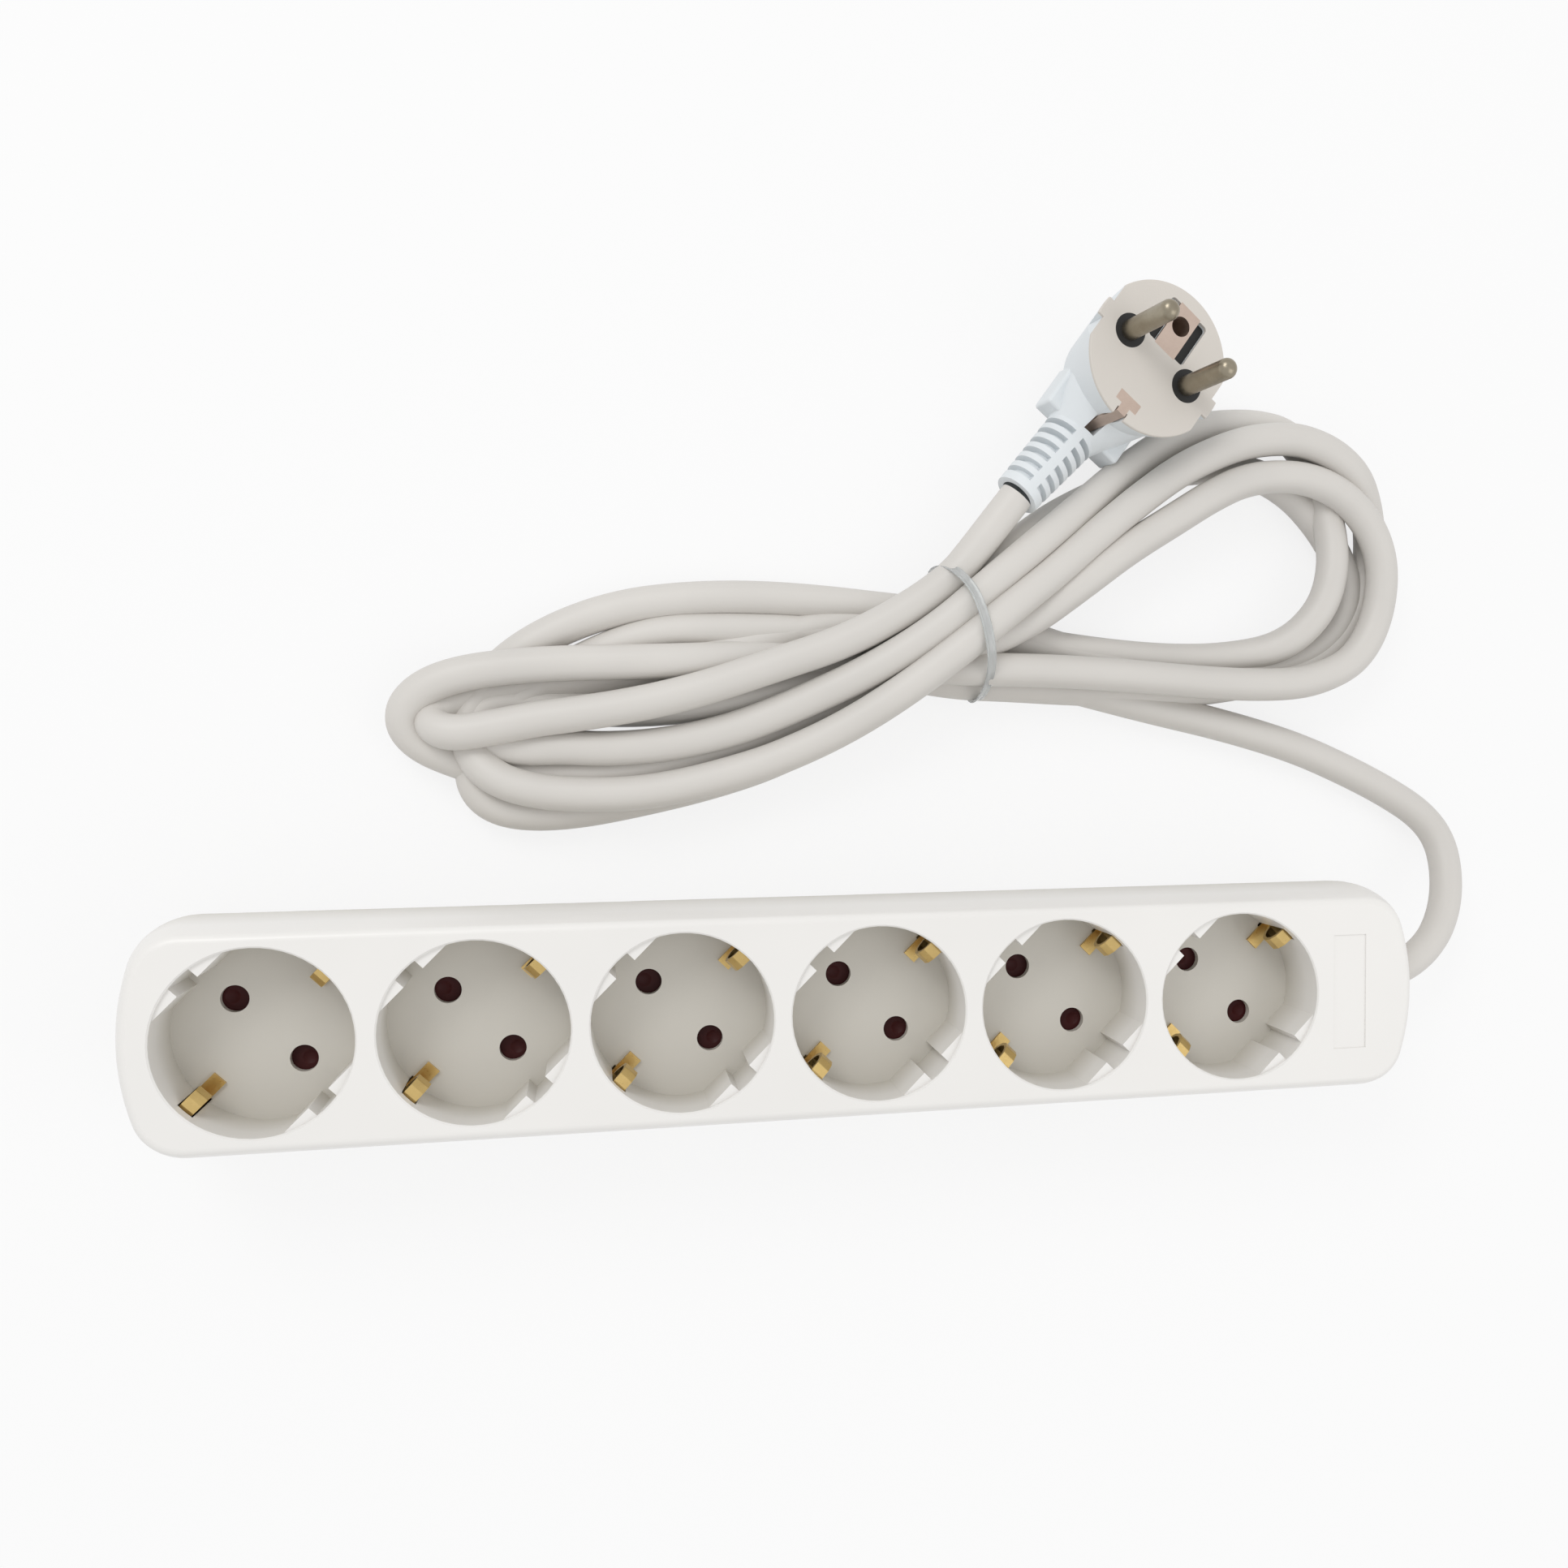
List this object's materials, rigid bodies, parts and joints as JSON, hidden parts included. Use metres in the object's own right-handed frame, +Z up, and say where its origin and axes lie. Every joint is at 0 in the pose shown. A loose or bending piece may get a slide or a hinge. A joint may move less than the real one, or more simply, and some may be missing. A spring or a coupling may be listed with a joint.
{
  "type": "power strip",
  "caption": "Extension lead: a long white housing with a row of round earthed outlets set at a slant, its cord tied in a flat hank, and an angled plug with round pins.",
  "frame": {"origin": "middle of the housing's underside", "axes": "+X along the housing towards the cord, +Y towards the hank, +Z up out of the outlets"},
  "size_m": [0.3173, 0.193, 0.0486],
  "materials": {
    "housing": "satin moulded",
    "housing_base": "matte moulded",
    "screw_steel": "zinc plated",
    "spring_steel": "drawn wire",
    "washer_steel": "stamped",
    "shutter": "dark red, matte",
    "clip_brass": "stamped",
    "bar_brass": "stamped",
    "clamp_plastic": "matte",
    "core_brown": "insulated",
    "core_blue": "insulated",
    "core_green_yellow": "insulated",
    "cord_sheath": "soft sheath",
    "tie_clear": "clear",
    "plug_body": "fine matte",
    "plug_face": "fine matte",
    "pin_nickel": "nickel plated",
    "pin_collar": "matte",
    "plug_copper": "stamped"
  },
  "bodies": {
    "housing": {"base_cover": "housing_base", "cable_tie": "tie_clear", "clamp_screw_1": "screw_steel", "clamp_screw_2": "screw_steel", "cord_clamp": "clamp_plastic", "cord_end": "cord_sheath", "cord_hank": "cord_sheath", "cord_plug_lead": "cord_sheath", "cord_tail": "cord_sheath", "core_earth": "core_green_yellow", "core_line": "core_brown", "core_neutral": "core_blue", "cover_screw_1": "screw_steel", "cover_screw_2": "screw_steel", "cover_screw_3": "screw_steel", "cover_screw_4": "screw_steel", "earth_busbar": "bar_brass", "earth_strap_1": "clip_brass", "earth_strap_2": "clip_brass", "earth_strap_3": "clip_brass", "earth_strap_4": "clip_brass", "earth_strap_5": "clip_brass", "earth_strap_6": "clip_brass", "line_busbar": "bar_brass", "neutral_busbar": "bar_brass", "plug_body": "plug_body", "plug_bridge": "pin_collar", "plug_collar_1": "pin_collar", "plug_collar_2": "pin_collar", "plug_earth_plate": "plug_copper", "plug_earth_sleeve": "plug_copper", "plug_earth_strip": "plug_copper", "plug_face": "plug_face", "plug_pin_1": "pin_nickel", "plug_pin_2": "pin_nickel", "shutter_spring_1": "spring_steel", "shutter_spring_2": "spring_steel", "shutter_spring_3": "spring_steel", "shutter_spring_4": "spring_steel", "shutter_spring_5": "spring_steel", "shutter_spring_6": "spring_steel", "shutter_washer_1": "washer_steel", "shutter_washer_2": "washer_steel", "shutter_washer_3": "washer_steel", "shutter_washer_4": "washer_steel", "shutter_washer_5": "washer_steel", "shutter_washer_6": "washer_steel", "top_cover": "housing"},
    "shutter_1": {"shutter_1": "shutter"},
    "shutter_2": {"shutter_2": "shutter"},
    "shutter_3": {"shutter_3": "shutter"},
    "shutter_4": {"shutter_4": "shutter"},
    "shutter_5": {"shutter_5": "shutter"},
    "shutter_6": {"shutter_6": "shutter"}
  },
  "joints": [
    {"name": "shutter_1_turn", "type": "hinge", "parent": "housing", "child": "shutter_1", "pos_m": [-0.117, 0, 0.019], "axis": [0, 0, 1], "range_deg": [0, 40], "stiffness_Nm_per_rad": 0.0008, "springref_deg": -10.03, "deforming": ["shutter_spring_1"]},
    {"name": "shutter_2_turn", "type": "hinge", "parent": "housing", "child": "shutter_2", "pos_m": [-0.074, 0, 0.019], "axis": [0, 0, 1], "range_deg": [0, 40], "stiffness_Nm_per_rad": 0.0008, "springref_deg": -10.03, "deforming": ["shutter_spring_2"]},
    {"name": "shutter_3_turn", "type": "hinge", "parent": "housing", "child": "shutter_3", "pos_m": [-0.031, 0, 0.019], "axis": [0, 0, 1], "range_deg": [0, 40], "stiffness_Nm_per_rad": 0.0008, "springref_deg": -10.03, "deforming": ["shutter_spring_3"]},
    {"name": "shutter_4_turn", "type": "hinge", "parent": "housing", "child": "shutter_4", "pos_m": [0.012, 0, 0.019], "axis": [0, 0, 1], "range_deg": [0, 40], "stiffness_Nm_per_rad": 0.0008, "springref_deg": -10.03, "deforming": ["shutter_spring_4"]},
    {"name": "shutter_5_turn", "type": "hinge", "parent": "housing", "child": "shutter_5", "pos_m": [0.055, 0, 0.019], "axis": [0, 0, 1], "range_deg": [0, 40], "stiffness_Nm_per_rad": 0.0008, "springref_deg": -10.03, "deforming": ["shutter_spring_5"]},
    {"name": "shutter_6_turn", "type": "hinge", "parent": "housing", "child": "shutter_6", "pos_m": [0.098, 0, 0.019], "axis": [0, 0, 1], "range_deg": [0, 40], "stiffness_Nm_per_rad": 0.0008, "springref_deg": -10.03, "deforming": ["shutter_spring_6"]}
  ]
}
